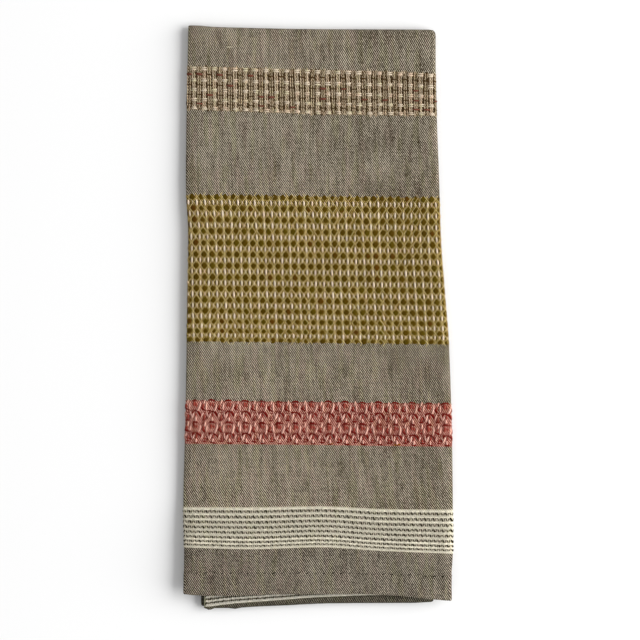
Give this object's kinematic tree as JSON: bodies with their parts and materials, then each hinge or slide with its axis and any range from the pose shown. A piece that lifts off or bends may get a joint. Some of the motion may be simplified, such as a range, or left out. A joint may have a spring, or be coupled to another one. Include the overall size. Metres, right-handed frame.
{
  "type": "folded tea towel",
  "caption": "Woven tea towel with patterned bands across it, folded in thirds along its length and then in half, with one hemmed end turned under.",
  "frame": {"origin": "middle of the folded towel's footprint, on the surface that it lies on", "axes": "+X across the towel, +Y up it towards the top fold, +Z up from the surface"},
  "size_m": [0.1753, 0.3803, 0.0114],
  "materials": {
    "woven_cloth": "matt two-tone twill in grey-brown cotton"
  },
  "bodies": {
    "root": {"tea_towel": "woven_cloth"}
  },
  "joints": []
}
